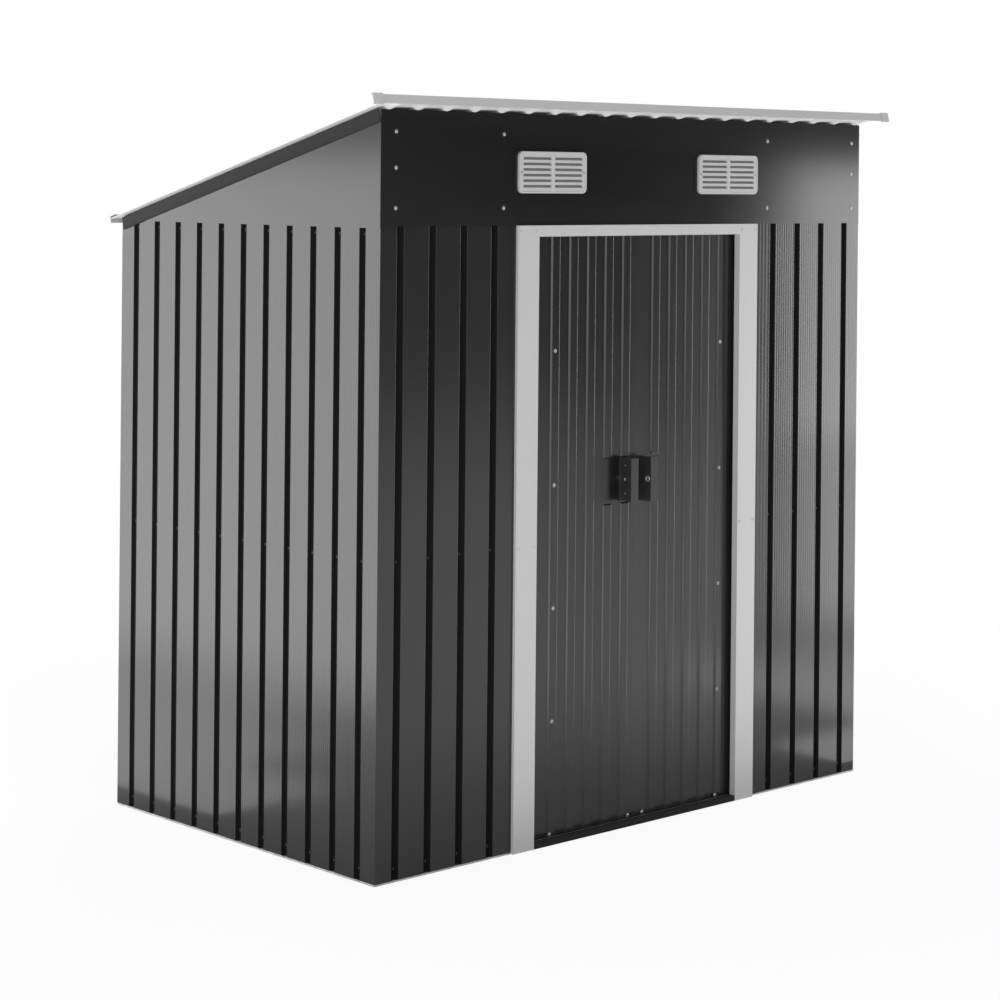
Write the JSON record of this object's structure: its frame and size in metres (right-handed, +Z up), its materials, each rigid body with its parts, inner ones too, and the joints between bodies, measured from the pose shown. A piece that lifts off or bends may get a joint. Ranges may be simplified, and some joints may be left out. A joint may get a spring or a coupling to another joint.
{
  "type": "metal storage shed",
  "caption": "Dark grey lean-to metal storage shed with ribbed walls, a pale sloping roof, two louvred vents and a pair of sliding doors in a light frame.",
  "frame": {"origin": "on the ground, under the middle of the roof's outline", "axes": "+X along the front to the right, +Y from the doors towards the back, +Z up"},
  "size_m": [1.857, 1.1004, 1.8092],
  "materials": {
    "wall_sheet": "satin",
    "door_sheet": "satin",
    "frame_metal": "satin",
    "roof_sheet": "satin",
    "trim": "satin",
    "galvanised": "dull",
    "vent_plastic": "matte",
    "handle_metal": "satin",
    "rake_strip": "matte"
  },
  "bodies": {
    "root": {"base_rail_front": "galvanised", "base_rail_back": "galvanised", "base_rail_left": "galvanised", "base_rail_right": "galvanised", "door_sill": "door_sheet", "bottom_track": "galvanised", "top_track": "galvanised", "corner_post_front_left": "galvanised", "corner_post_front_right": "galvanised", "corner_post_back_left": "galvanised", "corner_post_back_right": "galvanised", "front_wall_left": "wall_sheet", "front_wall_right": "wall_sheet", "left_wall": "wall_sheet", "right_wall": "wall_sheet", "back_wall_left": "wall_sheet", "back_wall_right": "wall_sheet", "front_fascia": "wall_sheet", "gable_left": "wall_sheet", "gable_right": "wall_sheet", "door_post_left_lower": "frame_metal", "door_post_left_upper": "frame_metal", "door_post_right_lower": "frame_metal", "door_post_right_upper": "frame_metal", "door_header": "frame_metal", "vent_left": "vent_plastic", "vent_right": "vent_plastic", "mid_rail_left": "galvanised", "mid_rail_right": "galvanised", "mid_rail_back": "galvanised", "roof_beam": "galvanised", "roof_sheet_left": "roof_sheet", "roof_sheet_right": "roof_sheet", "roof_front_trim": "trim", "trim_cap_left": "trim", "trim_cap_right": "trim", "roof_back_trim": "trim", "rake_trim_left": "rake_strip", "rake_trim_right": "rake_strip"},
    "left_door": {"left_door_panel": "door_sheet", "left_door_frame": "handle_metal", "left_door_handle": "handle_metal"},
    "right_door": {"right_door_panel": "door_sheet", "right_door_frame": "handle_metal", "right_door_handle": "handle_metal"}
  },
  "joints": [
    {"name": "left_door_slide", "type": "slide", "parent": "root", "child": "left_door", "axis": [-1, 0, 0], "range_m": [0, 0.295]},
    {"name": "right_door_slide", "type": "slide", "parent": "root", "child": "right_door", "axis": [1, 0, 0], "range_m": [0, 0.295]}
  ]
}
